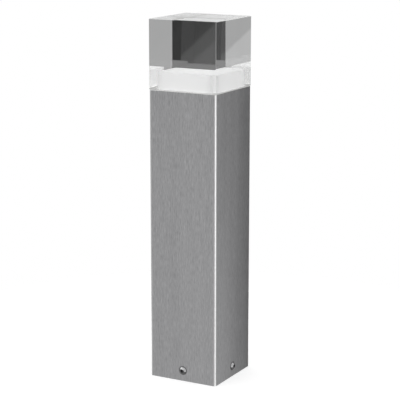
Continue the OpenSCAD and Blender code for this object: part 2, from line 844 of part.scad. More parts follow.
// Block with chamfers round its top, over a plan given as its child
module chamfered_block(w, h, c) {
    intersection() {
        linear_extrude(h) children();
        translate([0, w / 2, 0]) rotate([90, 0, 0]) linear_extrude(w) chamfered_front(w, h, c);
        rotate([0, 0, 90]) translate([0, w / 2, 0]) rotate([90, 0, 0])
            linear_extrude(w) chamfered_front(w, h, c);
    }
}

// Opal cap over the LEDs, open below
module diffuser() {
    color("white") translate([0, 0, post_h]) difference() {
        chamfered_block(diffuser_w, diffuser_h, diffuser_chamfer) round_square(diffuser_w, diffuser_r);
        translate([0, 0, -1])
            chamfered_block(diffuser_w - 2 * diffuser_t, diffuser_h - diffuser_t + 1, diffuser_chamfer - 1)
                round_square(diffuser_w - 2 * diffuser_t, 1);
    }
}

module head_seal() {
    color("ghostwhite") translate([0, 0, post_h]) linear_extrude(seal_t) difference() {
        round_square(post_w, post_r);
        round_square(seal_in, pocket_r);
    }
}

// Clear block with chamfered edges and the lamp pocket in its underside
module crystal_block() {
    c = block_chamfer;
    h = post_w / 2;
    color("lightcyan", 0.4) translate([0, 0, block_z]) difference() {
        chamfered_block(post_w, block_h, c)
            polygon([[c - h, -h], [h - c, -h], [h, c - h], [h, h - c], [h - c, h], [c - h, h], [-h, h - c], [-h, c - h]]);
        translate([0, 0, -1]) linear_extrude(pocket_h + 1) round_square(pocket_w, pocket_r);
    }
}

post();
post_brackets();
foot_plate();
weld_nuts();
side_screws();
cable_bush();
terminal_bridge();
bridge_screws();
terminal_base();
terminal_housing();
terminal_contacts();
terminal_screws();
lever_live();
lever_neutral();
lever_earth();
earth_lead();
earth_tag();
earth_screw();
supply_lead();
supply_cores();
lead_clip();
driver_case();
driver_lid();
driver_board();
driver_transformer();
driver_capacitors();
driver_bush();
driver_screws();
head_carrier();
carrier_screws();
carrier_bush();
led_lead();
led_connector();
thermal_pad();
led_board();
led_chips();
reflector_sheet();
board_screws();
diffuser();
head_seal();
crystal_block();
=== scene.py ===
import math

import bmesh
import bpy
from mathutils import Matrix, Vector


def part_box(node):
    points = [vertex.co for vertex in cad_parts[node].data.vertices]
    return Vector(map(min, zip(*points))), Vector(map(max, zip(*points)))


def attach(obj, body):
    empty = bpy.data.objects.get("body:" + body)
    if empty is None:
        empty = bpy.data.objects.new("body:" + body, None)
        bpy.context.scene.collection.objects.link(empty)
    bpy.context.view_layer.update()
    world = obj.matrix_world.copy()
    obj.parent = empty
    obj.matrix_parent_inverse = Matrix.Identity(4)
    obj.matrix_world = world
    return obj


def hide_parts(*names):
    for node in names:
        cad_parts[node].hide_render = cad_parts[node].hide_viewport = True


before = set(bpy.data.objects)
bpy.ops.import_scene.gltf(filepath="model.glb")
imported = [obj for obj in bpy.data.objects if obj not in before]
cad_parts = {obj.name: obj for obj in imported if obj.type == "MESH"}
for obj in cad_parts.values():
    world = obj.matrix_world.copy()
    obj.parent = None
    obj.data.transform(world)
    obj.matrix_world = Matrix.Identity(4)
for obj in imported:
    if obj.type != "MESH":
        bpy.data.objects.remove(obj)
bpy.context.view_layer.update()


# ---- Foot plate -----------------------------------------------------------------------------
# A square of 3 mm stainless sheet with a tab folded up on each side, laser cut and left in its
# mill finish. It is bolted to the footing, and the post slips down over its tabs.
def new_finish(name, metallic=0.0, roughness=0.5, **sockets):
    """A material with its own shader; returns the material, its nodes, its links and the shader."""
    finish = bpy.data.materials.new(name)
    finish.use_nodes = True
    shader = finish.node_tree.nodes["Principled BSDF"]
    shader.inputs["Metallic"].default_value = metallic
    shader.inputs["Roughness"].default_value = roughness
    for socket, value in sockets.items():
        shader.inputs[socket.replace("_", " ")].default_value = value
    return finish, finish.node_tree.nodes, finish.node_tree.links, shader


def grain(nodes, links, scale, stretch=(1, 1, 1), detail=4.0, rough=0.6):
    """Noise over the piece in metres; a stretch below 1 draws it out along that axis."""
    place = nodes.new("ShaderNodeTexCoord")
    spread = nodes.new("ShaderNodeMapping")
    spread.inputs["Scale"].default_value = stretch
    noise = nodes.new("ShaderNodeTexNoise")
    noise.inputs["Scale"].default_value = scale
    noise.inputs["Detail"].default_value = detail
    noise.inputs["Roughness"].default_value = rough
    links.new(place.outputs["Object"], spread.inputs["Vector"])
    links.new(spread.outputs["Vector"], noise.inputs["Vector"])
    return noise.outputs["Fac"]


def between(nodes, links, fac, low, high, start=0.3, stop=0.7):
    """A number that runs from low to high as fac goes from start to stop."""
    span = nodes.new("ShaderNodeMapRange")
    span.inputs["From Min"].default_value = start
    span.inputs["From Max"].default_value = stop
    span.inputs["To Min"].default_value = low
    span.inputs["To Max"].default_value = high
    links.new(fac, span.inputs["Value"])
    return span.outputs["Result"]


def shade(nodes, links, fac, dark, light, start=0.3, stop=0.7):
    """A colour that runs from dark to light as fac goes from start to stop."""
    ramp = nodes.new("ShaderNodeValToRGB")
    ramp.color_ramp.elements[0].position = start
    ramp.color_ramp.elements[0].color = (*dark, 1)
    ramp.color_ramp.elements[1].position = stop
    ramp.color_ramp.elements[1].color = (*light, 1)
    links.new(fac, ramp.inputs["Fac"])
    return ramp.outputs["Color"]


def tint(nodes, links, shader, fac, dark, light, start=0.3, stop=0.7):
    """Runs the shader's colour from dark to light with fac."""
    links.new(shade(nodes, links, fac, dark, light, start, stop), shader.inputs["Base Color"])


def gloss(nodes, links, shader, fac, smooth, rough):
    """Runs the shader's roughness from smooth to rough with fac."""
    links.new(between(nodes, links, fac, smooth, rough), shader.inputs["Roughness"])


def raise_grain(nodes, links, shader, fac, height):
    """Bump of the given height in metres."""
    bump = nodes.new("ShaderNodeBump")
    bump.inputs["Distance"].default_value = height
    links.new(fac, bump.inputs["Height"])
    links.new(bump.outputs["Normal"], shader.inputs["Normal"])


def dress(node, finish, edge=0.0):
    """Puts a finish on a CAD node and, if asked, breaks its edges by that many metres."""
    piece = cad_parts[node]
    piece.data.materials.clear()
    piece.data.materials.append(finish)
    if edge:
        bevel = piece.modifiers.new("broken_edges", "BEVEL")
        bevel.width = edge
        bevel.segments = 2
        bevel.limit_method = "ANGLE"
        bevel.angle_limit = math.radians(40)
    return piece


def sheet_steel(name, dark, light, roughness):
    finish, nodes, links, shader = new_finish(name, metallic=1.0)
    rolled = grain(nodes, links, 60, (1, 6, 6))
    clouds = grain(nodes, links, 25)
    tint(nodes, links, shader, clouds, dark, light)
    gloss(nodes, links, shader, rolled, roughness - 0.06, roughness + 0.08)
    raise_grain(nodes, links, shader, rolled, 0.00001)
    return finish


mill_steel = sheet_steel("mill_steel", (0.50, 0.51, 0.52), (0.60, 0.60, 0.61), 0.34)
dress("foot_plate", mill_steel, 0.0002)


# ---- Weld nuts ------------------------------------------------------------------------------
# Hexagon nuts of plain stainless steel, projection welded inside the tabs. The heat leaves a
# straw and blue tint on them.
def heat_tinted_steel():
    finish, nodes, links, shader = new_finish("heat_tinted_steel", metallic=1.0)
    scale = grain(nodes, links, 140)
    tint(nodes, links, shader, scale, (0.36, 0.38, 0.44), (0.58, 0.53, 0.45))
    gloss(nodes, links, shader, scale, 0.28, 0.46)
    return finish


welded_steel = heat_tinted_steel()
dress("weld_nuts", welded_steel, 0.0002)


# ---- Cable bush -----------------------------------------------------------------------------
# A moulded black rubber bush, pressed into the middle of the foot plate, which the mains cable
# comes up through.
def moulded_rubber(name, colour):
    finish, nodes, links, shader = new_finish(name, roughness=0.7, Specular_IOR_Level=0.35)
    bloom = grain(nodes, links, 90)
    pores = grain(nodes, links, 2500, detail=2)
    light = tuple(min(1.0, c * 1.5 + 0.01) for c in colour)
    tint(nodes, links, shader, bloom, colour, light)
    gloss(nodes, links, shader, bloom, 0.6, 0.78)
    raise_grain(nodes, links, shader, pores, 0.00003)
    return finish


black_rubber = moulded_rubber("black_rubber", (0.018, 0.018, 0.019))
dress("cable_bush", black_rubber, 0.0003)


# ---- Terminal bridge and its screws ---------------------------------------------------------
# A strip of the same sheet steel, folded into a bridge over the cable bush, and two zinc plated
# pan-head screws that hold it to the foot plate.
def zinc_plate():
    finish, nodes, links, shader = new_finish("zinc_plate", metallic=1.0)
    bloom = grain(nodes, links, 300)
    tint(nodes, links, shader, bloom, (0.60, 0.62, 0.66), (0.76, 0.76, 0.77))
    gloss(nodes, links, shader, bloom, 0.18, 0.32)
    return finish


bright_zinc = zinc_plate()
dress("terminal_bridge", mill_steel, 0.0002)
dress("bridge_screws", bright_zinc, 0.00015)


# ---- Terminal block -------------------------------------------------------------------------
# A grey polyamide housing and its base, which trap a tinned brass contact for each pole. Two
# screws hold the block to the bridge.
def moulded_plastic(name, colour, roughness, texture=0.00002):
    finish, nodes, links, shader = new_finish(name, roughness=roughness, Specular_IOR_Level=0.5)
    flow = grain(nodes, links, 40)
    spark = grain(nodes, links, 1800, detail=2)
    dark = tuple(c * 0.93 for c in colour)
    tint(nodes, links, shader, flow, dark, colour)
    gloss(nodes, links, shader, flow, roughness - 0.05, roughness + 0.06)
    raise_grain(nodes, links, shader, spark, texture)
    return finish


def tinned_brass():
    finish, nodes, links, shader = new_finish("tinned_brass", metallic=1.0)
    wipe = grain(nodes, links, 260, (1, 5, 5))
    tint(nodes, links, shader, wipe, (0.66, 0.50, 0.28), (0.80, 0.76, 0.66))
    gloss(nodes, links, shader, wipe, 0.22, 0.36)
    return finish


terminal_grey = moulded_plastic("terminal_grey", (0.55, 0.56, 0.57), 0.42)
dress("terminal_base", terminal_grey, 0.0002)
dress("terminal_housing", terminal_grey, 0.00025)
dress("terminal_contacts", tinned_brass(), 0.00008)
dress("terminal_screws", bright_zinc, 0.00012)


# ---- Clamping levers ------------------------------------------------------------------------
# One orange lever for each pole, moulded with its two hinge pins, which snap into the cheeks of
# the housing. Raised, it opens the spring clamp below it.
lever_orange = moulded_plastic("lever_orange", (0.83, 0.22, 0.02), 0.33)
for pole in ("lever_live", "lever_neutral", "lever_earth"):
    dress(pole, lever_orange, 0.0003)


# ---- Earth connection -----------------------------------------------------------------------
# A green and yellow core runs from the earth pole to a crimped ring tag, which a green bolt
# clamps to the foot plate.
def core_insulation(name, colour):
    finish, nodes, links, shader = new_finish(name, roughness=0.38, Specular_IOR_Level=0.5)
    scuff = grain(nodes, links, 220, (1, 1, 0.3))
    dark = tuple(c * 0.86 for c in colour)
    tint(nodes, links, shader, scuff, dark, colour)
    gloss(nodes, links, shader, scuff, 0.32, 0.46)
    return finish


def passivated_green():
    finish, nodes, links, shader = new_finish("passivated_green", metallic=0.6)
    cloud = grain(nodes, links, 400)
    tint(nodes, links, shader, cloud, (0.03, 0.16, 0.05), (0.09, 0.33, 0.12))
    gloss(nodes, links, shader, cloud, 0.25, 0.4)
    return finish


def reckon(nodes, links, operation, *values):
    """One sum with numbers and the outputs of other nodes."""
    node = nodes.new("ShaderNodeMath")
    node.operation = operation
    for socket, value in zip(node.inputs, values):
        if isinstance(value, (int, float)):
            socket.default_value = value
        else:
            links.new(value, socket)
    return node.outputs["Value"]


def axes_of(nodes, links):
    """The X, Y and Z of each point of the piece, in metres."""
    place = nodes.new("ShaderNodeTexCoord")
    axes = nodes.new("ShaderNodeSeparateXYZ")
    links.new(place.outputs["Object"], axes.inputs["Vector"])
    return [axes.outputs[axis] for axis in "XYZ"]


def banded_insulation():
    """Green insulation with a yellow stripe down two sides."""
    stripe_pitch = 0.0026
    green, yellow = (0.03, 0.26, 0.05), (0.85, 0.68, 0.03)
    finish, nodes, links, shader = new_finish("green_yellow_insulation", roughness=0.38)
    across = axes_of(nodes, links)[0]
    turns = reckon(nodes, links, "MULTIPLY", across, 2 * math.pi / stripe_pitch)
    stripe = reckon(nodes, links, "SINE", turns)
    tint(nodes, links, shader, stripe, green, yellow, 0.48, 0.52)
    scuff = grain(nodes, links, 220)
    gloss(nodes, links, shader, scuff, 0.32, 0.46)
    return finish


earth_insulation = banded_insulation()
dress("earth_lead", earth_insulation)
dress("earth_tag", welded_steel, 0.0001)
dress("earth_screw", passivated_green(), 0.00015)


# ---- Lead to the driver ---------------------------------------------------------------------
# A three-core rubber-sheathed lead drops from the driver and runs down the back wall in a
# stick-on saddle. Its stripped brown, blue and striped cores fan out to the three poles.
def shells(data):
    """The closed shells of a mesh, each as a list of its faces' numbers."""
    mesh = bmesh.new()
    mesh.from_mesh(data)
    waiting = set(mesh.faces)
    found = []
    while waiting:
        shell, front = [], [waiting.pop()]
        while front:
            face = front.pop()
            shell.append(face.index)
            for edge in face.edges:
                for beside in edge.link_faces:
                    if beside in waiting:
                        waiting.discard(beside)
                        front.append(beside)
        found.append(shell)
    mesh.free()
    return found


def middle_x(data, faces):
    """How far to the right some of a mesh's faces lie, on average."""
    return sum(data.polygons[i].center.x for i in faces) / len(faces)


lead_sheath = moulded_rubber("lead_sheath", (0.03, 0.03, 0.032))
saddle_white = moulded_plastic("saddle_white", (0.82, 0.82, 0.80), 0.4)
dress("supply_lead", lead_sheath)
cores = dress("supply_cores", core_insulation("brown_insulation", (0.19, 0.08, 0.035))).data
cores.materials.append(core_insulation("blue_insulation", (0.03, 0.13, 0.42)))
cores.materials.append(earth_insulation)
left_to_right = sorted(shells(cores), key=lambda faces: middle_x(cores, faces))
for slot, core in enumerate(left_to_right):
    for i in core:
        cores.polygons[i].material_index = slot
dress("lead_clip", saddle_white, 0.0003)


# ---- Driver ---------------------------------------------------------------------------------
# A moulded case and lid hold the board that turns the mains into the LEDs' low voltage. Two
# screws through its ears hang it under the head carrier.
def solder_mask(name, dark, light):
    """Lacquer over copper tracks, which show as slightly lighter lanes."""
    finish, nodes, links, shader = new_finish(name, roughness=0.28, Specular_IOR_Level=0.5)
    place = nodes.new("ShaderNodeTexCoord")
    lanes = nodes.new("ShaderNodeTexBrick")
    lanes.inputs["Scale"].default_value = 220
    lanes.inputs["Color1"].default_value = (*dark, 1)
    lanes.inputs["Color2"].default_value = (*[(a + b) / 2 for a, b in zip(dark, light)], 1)
    lanes.inputs["Mortar"].default_value = (*light, 1)
    lanes.inputs["Mortar Size"].default_value = 0.04
    links.new(place.outputs["Object"], lanes.inputs["Vector"])
    links.new(lanes.outputs["Color"], shader.inputs["Base Color"])
    raise_grain(nodes, links, shader, lanes.outputs["Fac"], 0.00003)
    return finish


def wound_tape():
    finish, nodes, links, shader = new_finish("wound_tape", roughness=0.3)
    turns = grain(nodes, links, 300, (0.2, 0.2, 4))
    tint(nodes, links, shader, turns, (0.62, 0.42, 0.05), (0.82, 0.62, 0.14))
    gloss(nodes, links, shader, turns, 0.22, 0.4)
    raise_grain(nodes, links, shader, turns, 0.00005)
    return finish


driver_plastic = moulded_plastic("driver_plastic", (0.80, 0.80, 0.78), 0.45, 0.00004)
dress("driver_case", driver_plastic, 0.0004)
dress("driver_lid", driver_plastic, 0.0003)
dress("driver_board", solder_mask("green_solder_mask", (0.012, 0.13, 0.04), (0.04, 0.26, 0.09)), 0.0001)
dress("driver_transformer", wound_tape(), 0.0003)
dress("driver_capacitors", moulded_plastic("capacitor_sleeve", (0.02, 0.025, 0.06), 0.25), 0.0004)
dress("driver_bush", black_rubber, 0.0003)
dress("driver_screws", bright_zinc, 0.00015)


# ---- Head carrier ---------------------------------------------------------------------------
# A die-cast aluminium tray, bead blasted, with ribs under its floor that carry off the LEDs'
# heat. Four screws pull it down on brackets welded into the post's corners.
def cast_aluminium():
    finish, nodes, links, shader = new_finish("cast_aluminium", metallic=1.0)
    blast = grain(nodes, links, 3200, detail=2)
    skin = grain(nodes, links, 30)
    tint(nodes, links, shader, skin, (0.55, 0.56, 0.57), (0.68, 0.68, 0.69))
    gloss(nodes, links, shader, skin, 0.46, 0.58)
    raise_grain(nodes, links, shader, blast, 0.00006)
    return finish


dress("post_brackets", welded_steel, 0.0002)
dress("head_carrier", cast_aluminium(), 0.0004)
dress("carrier_screws", bright_zinc, 0.00015)
dress("carrier_bush", black_rubber, 0.0002)


# ---- Lamp -----------------------------------------------------------------------------------
# An aluminium-core board with twelve LEDs in a square ring, on a soft thermal pad. A white sheet
# with a window for each LED lies over it, and a short white lead plugs into its middle.
def silicone_pad():
    finish, nodes, links, shader = new_finish("thermal_silicone", roughness=0.6)
    filler = grain(nodes, links, 900)
    tint(nodes, links, shader, filler, (0.36, 0.44, 0.52), (0.50, 0.58, 0.66))
    raise_grain(nodes, links, shader, filler, 0.00005)
    return finish


def phosphor():
    finish, nodes, links, shader = new_finish("led_phosphor", roughness=0.35, Subsurface_Weight=0.2)
    speck = grain(nodes, links, 2200)
    tint(nodes, links, shader, speck, (0.80, 0.60, 0.08), (0.93, 0.76, 0.20))
    return finish


dress("thermal_pad", silicone_pad(), 0.0001)
dress("led_board", solder_mask("white_solder_mask", (0.80, 0.80, 0.78), (0.88, 0.88, 0.86)), 0.0001)
dress("led_chips", phosphor(), 0.00015)
dress("reflector_sheet", moulded_plastic("reflector_white", (0.90, 0.90, 0.89), 0.3), 0.00005)
dress("led_connector", saddle_white, 0.0002)
dress("led_lead", moulded_plastic("lead_white", (0.80, 0.80, 0.77), 0.4))
dress("board_screws", bright_zinc, 0.00012)


# ---- Opal diffuser --------------------------------------------------------------------------
# A cap of opal acrylic, 2 mm thick with a satin skin, that stands over the LEDs inside the
# pocket of the clear block and evens out their light.
def opal_acrylic():
    finish, nodes, links, shader = new_finish("opal_acrylic", roughness=0.35, Specular_IOR_Level=0.4)
    milk = grain(nodes, links, 35)
    tint(nodes, links, shader, milk, (0.90, 0.90, 0.90), (0.94, 0.94, 0.94))
    gloss(nodes, links, shader, milk, 0.3, 0.4)
    # Painted glow: the cap gives off a faint light of its own, standing in for the LEDs' light.
    shader.inputs["Emission Color"].default_value = (1, 1, 1, 1)
    shader.inputs["Emission Strength"].default_value = 0.12
    return finish


dress("diffuser", opal_acrylic(), 0.0003)


# ---- Seal -----------------------------------------------------------------------------------
# A thin ring of white silicone, cast in place between the post and the clear block. It keeps
# rain out of the lamp, and shows from outside as a fine white line.
seal_silicone = moulded_plastic("seal_silicone", (0.86, 0.86, 0.85), 0.5)
dress("head_seal", seal_silicone, 0.0001)


# ---- Crystal block --------------------------------------------------------------------------
# A solid block of cast clear acrylic with diamond polished faces and a fine chamfer on its edges.
# The pocket milled into its underside is lacquered white, and shows as a white box in the block.
block_low, block_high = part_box("crystal_block")
block_chamfer = 0.0005
pocket_half = 0.042
pocket_top = block_low[2] + 0.0235
pocket_corner = 0.003


def quarter_turned(x, y, turns):
    """A point turned about the Z axis by that many right angles."""
    for _ in range(turns):
        x, y = -y, x
    return x, y


def tube_outline(half, radius, arc_steps, hold=0.0004):
    """Points round a square with round corners, with a hold point beside each arc to keep the faces flat."""
    centre = half - radius
    points = [(radius, -hold)]
    for step in range(arc_steps + 1):
        angle = math.pi / 2 * step / arc_steps
        points.append((math.cos(angle) * radius, math.sin(angle) * radius))
    points.append((-hold, radius))
    return [quarter_turned(centre + x, centre + y, turns) for turns in range(4) for x, y in points]


def finished_piece(name, mesh):
    """Turns a worked mesh into an object of the scene."""
    data = bpy.data.meshes.new(name)
    mesh.to_mesh(data)
    mesh.free()
    piece = bpy.data.objects.new(name, data)
    bpy.context.collection.objects.link(piece)
    return piece


def milled_block(name, half, bottom, top, chamfer):
    """The block with its pocket. Face material 0 is polished and 1 is lacquered."""
    mesh = bmesh.new()

    def ring(points, z):
        return [mesh.verts.new((*quarter_turned(x, y, turns), z)) for turns in range(4) for x, y in points]

    cut_corner = [(half, half - chamfer), (half - chamfer, half)]
    foot = ring(cut_corner, bottom)
    shoulder = ring(cut_corner, top - chamfer)
    crown = ring([(half - chamfer, half - chamfer)], top)
    pocket = tube_outline(pocket_half, pocket_corner, 8)
    mouth = [mesh.verts.new((x, y, bottom)) for x, y in pocket]
    ceiling = [mesh.verts.new((x, y, pocket_top)) for x, y in pocket]
    for i in range(8):
        j = (i + 1) % 8
        mesh.faces.new((foot[i], foot[j], shoulder[j], shoulder[i]))
    for turn in range(4):
        here, there = shoulder[2 * turn], shoulder[2 * turn + 1]
        onward = shoulder[(2 * turn + 2) % 8]
        mesh.faces.new((here, there, crown[turn]))
        mesh.faces.new((there, onward, crown[(turn + 1) % 4], crown[turn]))
    mesh.faces.new(crown)
    lacquered = [mesh.faces.new(list(reversed(ceiling)))]
    count = len(mouth)
    for i in range(count):
        j = (i + 1) % count
        lacquered.append(mesh.faces.new((mouth[j], mouth[i], ceiling[i], ceiling[j])))
    span = count // 4
    for turn in range(4):
        first = turn * span
        near = mouth[first:first + span]
        beyond = mouth[(first + span) % count]
        lacquered.append(mesh.faces.new([foot[2 * turn], *near, foot[2 * turn + 1]]))
        lacquered.append(mesh.faces.new((foot[2 * turn + 1], near[-1], beyond, foot[(2 * turn + 2) % 8])))
    for face in lacquered:
        face.material_index = 1
    bmesh.ops.recalc_face_normals(mesh, faces=mesh.faces)
    return finished_piece(name, mesh)


def smooth_by_angle(piece, degrees):
    for polygon in piece.data.polygons:
        polygon.use_smooth = True
    piece.data.set_sharp_from_angle(angle=math.radians(degrees))


def clear_acrylic(name, roughness, texture):
    finish, nodes, links, shader = new_finish(name, roughness=roughness, IOR=1.49)
    shader.inputs["Transmission Weight"].default_value = 1.0
    shader.inputs["Base Color"].default_value = (0.985, 0.99, 0.99, 1)
    ripple = grain(nodes, links, 16, detail=1)
    raise_grain(nodes, links, shader, ripple, texture)
    return finish


def least_width(nodes, links):
    """How far a point is from the middle, along X or along Y, whichever is less."""
    across, along, _ = axes_of(nodes, links)
    return reckon(nodes, links, "MINIMUM", reckon(nodes, links, "ABSOLUTE", across),
                  reckon(nodes, links, "ABSOLUTE", along))


def white_lining():
    """Milk white lacquer, seen from inside the clear block, with painted shade towards the pocket's upright
    corners and a painted glow that stands in for the lamp's light.
    """
    corner_shade_from, corner_shade_to = pocket_half - 0.011, pocket_half - 0.0005
    finish, nodes, links, shader = new_finish("white_lining", roughness=0.6)
    width = least_width(nodes, links)
    # Painted shade: the white is darkened towards the pocket's upright corners.
    corner_shade = between(nodes, links, width, 0, 1, corner_shade_from, corner_shade_to)
    tint(nodes, links, shader, corner_shade, (0.94, 0.94, 0.94), (0.85, 0.85, 0.85), 0, 1)
    # Painted glow: the lining gives off light of its own in place of the lamp's light, a little less in the
    # corners as painted shade.
    shader.inputs["Emission Color"].default_value = (1, 1, 1, 1)
    links.new(between(nodes, links, corner_shade, 0.27, 0.22, 0, 1), shader.inputs["Emission Strength"])
    return finish


block = milled_block("clear_block", block_high[0], block_low[2], block_high[2], block_chamfer)
smooth_by_angle(block, 20)
block.data.materials.append(clear_acrylic("polished_acrylic", 0.0, 0.00002))
block.data.materials.append(white_lining())
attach(block, "root")
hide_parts("crystal_block")


# ---- Post -----------------------------------------------------------------------------------
# Square stainless steel tube with rounded corners, brushed along its length. A hole near its foot
# on each face takes a side screw, and the head drops into its open top.
wall = 0.0015
corner = 0.0025
hole_height = 0.015
hole_radius = 0.00325
post_low, post_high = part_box("post")
post_half = post_high[0]


def square_tube(name, half, thickness, radius, bottom, top, arc_steps=12):
    """A hollow square tube, standing between bottom and top."""
    mesh = bmesh.new()
    loops = []
    for outline in (tube_outline(half, radius, arc_steps),
                    tube_outline(half - thickness, radius - thickness, arc_steps, 0.0008)):
        for z in (bottom, top):
            loops.append([mesh.verts.new((x, y, z)) for x, y in outline])
    outer_foot, outer_head, inner_foot, inner_head = loops
    count = len(outer_foot)
    for i in range(count):
        j = (i + 1) % count
        mesh.faces.new((outer_foot[i], outer_foot[j], outer_head[j], outer_head[i]))
        mesh.faces.new((inner_foot[j], inner_foot[i], inner_head[i], inner_head[j]))
        mesh.faces.new((outer_head[i], outer_head[j], inner_head[j], inner_head[i]))
        mesh.faces.new((outer_foot[j], outer_foot[i], inner_foot[i], inner_foot[j]))
    return finished_piece(name, mesh)


def drill(piece, radius, height, reach):
    """Bores straight through the tube at a height, along X and along Y."""
    for lay in ((0, math.pi / 2, 0), (math.pi / 2, 0, 0)):
        bpy.ops.mesh.primitive_cylinder_add(vertices=48, radius=radius, depth=reach,
                                            location=(0, 0, height), rotation=lay)
        bit = bpy.context.object
        cut = piece.modifiers.new("drilled", "BOOLEAN")
        cut.operation = "DIFFERENCE"
        cut.solver = "EXACT"
        cut.object = bit
        bpy.context.view_layer.objects.active = piece
        bpy.ops.object.modifier_apply(modifier=cut.name)
        bpy.data.objects.remove(bit)


def brushed_steel():
    """Short fine scratches and longer lines along Z, with the gloss spread across the brushing. A painted
    highlight makes the corners brighter than the flats, and a painted shadow darkens a ring round the screw
    heads."""
    shadow_inside, shadow_outside = 0.0054, 0.0069
    flat_half, corner_fade = post_half - corner, 0.0003
    finish, nodes, links, shader = new_finish("brushed_steel", metallic=1.0, Anisotropic=0.7)
    scratches = grain(nodes, links, 1000, (1, 1, 0.13), detail=2)
    long_lines = grain(nodes, links, 900, (1, 1, 0.035), detail=3, rough=0.7)
    bands = grain(nodes, links, 45, (1, 1, 0.05), detail=2)
    drift = reckon(nodes, links, "MULTIPLY", bands, 0.14)
    drift_and_long = reckon(nodes, links, "MULTIPLY_ADD", long_lines, 0.38, drift)
    lines = reckon(nodes, links, "MULTIPLY_ADD", scratches, 0.48, drift_and_long)
    bright = shade(nodes, links, lines, (0.40, 0.40, 0.41), (0.74, 0.74, 0.75), 0.32, 0.68)
    across = least_width(nodes, links)
    up_from_hole = reckon(nodes, links, "SUBTRACT", axes_of(nodes, links)[2], hole_height)
    squares = reckon(nodes, links, "MULTIPLY_ADD", up_from_hole, up_from_hole,
                     reckon(nodes, links, "MULTIPLY", across, across))
    from_hole = reckon(nodes, links, "SQRT", squares)
    # Painted highlight: the colour over the round corners is raised to near white.
    corner_highlight = nodes.new("ShaderNodeMix")
    corner_highlight.data_type = "RGBA"
    corner_highlight.inputs["B"].default_value = (0.96, 0.96, 0.96, 1)
    links.new(between(nodes, links, across, 0, 1, flat_half - corner_fade, flat_half + corner_fade),
              corner_highlight.inputs["Factor"])
    links.new(bright, corner_highlight.inputs["A"])
    # Painted shadow: the steel is darkened in a ring just round each screw head, where the head shades it.
    unshadowed = between(nodes, links, from_hole, 0, 1, shadow_inside, shadow_outside)
    screw_shadow = nodes.new("ShaderNodeMix")
    screw_shadow.data_type = "RGBA"
    screw_shadow.blend_type = "MULTIPLY"
    screw_shadow.inputs["Factor"].default_value = 1
    links.new(corner_highlight.outputs["Result"], screw_shadow.inputs["A"])
    links.new(shade(nodes, links, unshadowed, (0.22, 0.22, 0.22), (1, 1, 1), 0, 1), screw_shadow.inputs["B"])
    links.new(screw_shadow.outputs["Result"], shader.inputs["Base Color"])
    gloss(nodes, links, shader, lines, 0.28, 0.38)
    tangent = nodes.new("ShaderNodeTangent")
    tangent.direction_type = "RADIAL"
    tangent.axis = "Z"
    links.new(tangent.outputs["Tangent"], shader.inputs["Tangent"])
    raise_grain(nodes, links, shader, lines, 0.000003)
    return finish


post = square_tube("brushed_post", post_half, wall, corner, post_low[2], post_high[2])
drill(post, hole_radius, hole_height, reach=0.2)
smooth_by_angle(post, 30)
post.data.materials.append(brushed_steel())
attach(post, "root")
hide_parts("post")


# ---- Side screws ----------------------------------------------------------------------------
# M6 button-head screws in bright stainless steel, with a hexagon socket. They pass through the
# post and the tabs into the weld nuts, so the post can be lifted off.
head_radius = 0.00525
head_height = 0.0033
head_rim = 0.0005
head_edge = (0.0002, 0.00015)
shank_radius = 0.003
shank_length = 0.010
shank_end = 0.0006
socket_flat = 0.002
socket_mouth = 0.00264
socket_bevel = 0.0004
socket_depth = 0.0022
socket_point = 0.0004


def button_head(count=48, hold=0.0001):
    """One screw on the Z axis, its head rising from z = 0, as rings of points from the tip to the socket."""
    dome = head_height - head_rim
    dome_radius = (head_radius ** 2 + dome ** 2) / (2 * dome)
    rings = [(shank_radius - shank_end, -shank_length), (shank_radius, shank_end - shank_length),
             (shank_radius, -hold), (shank_radius, 0), (head_radius - head_edge[0], 0),
             (head_radius, head_edge[1]), (head_radius, head_rim)]
    dome_steps = 9
    edge_angle = math.asin(head_radius / dome_radius)
    mouth_angle = math.asin(socket_mouth / dome_radius)
    for step in range(1, dome_steps + 1):
        angle = edge_angle + (mouth_angle - edge_angle) * step / dome_steps
        rings.append((dome_radius * math.sin(angle), head_height - dome_radius * (1 - math.cos(angle))))
    mesh = bmesh.new()
    angles = [2 * math.pi * i / count for i in range(count)]
    loops = [[mesh.verts.new((radius * math.cos(angle), radius * math.sin(angle), z)) for angle in angles]
             for radius, z in rings]
    for depth in (socket_bevel, socket_depth):
        loop = []
        for angle in angles:
            off_flat = (angle + math.pi / 6) % (math.pi / 3) - math.pi / 6
            reach = socket_flat / math.cos(off_flat)
            x, y = reach * math.cos(angle), reach * math.sin(angle)
            loop.append(mesh.verts.new((x, y, head_height - depth)))
        loops.append(loop)
    for below, above in zip(loops, loops[1:]):
        for i in range(count):
            j = (i + 1) % count
            mesh.faces.new((below[i], below[j], above[j], above[i]))
    mesh.faces.new(list(reversed(loops[0])))
    point = mesh.verts.new((0, 0, head_height - socket_depth - socket_point))
    for i in range(count):
        mesh.faces.new((loops[-1][i], loops[-1][(i + 1) % count], point))
    return mesh


def headed_steel(name, dark, light, roughness):
    """Cold-headed stainless steel, with the faint blotches of its pickling."""
    finish, nodes, links, shader = new_finish(name, metallic=1.0)
    pickling = grain(nodes, links, 500)
    tint(nodes, links, shader, pickling, dark, light)
    gloss(nodes, links, shader, pickling, roughness - 0.05, roughness + 0.05)
    return finish


screw_steel = headed_steel("bright_stainless", (0.36, 0.36, 0.365), (0.50, 0.50, 0.505), 0.19)
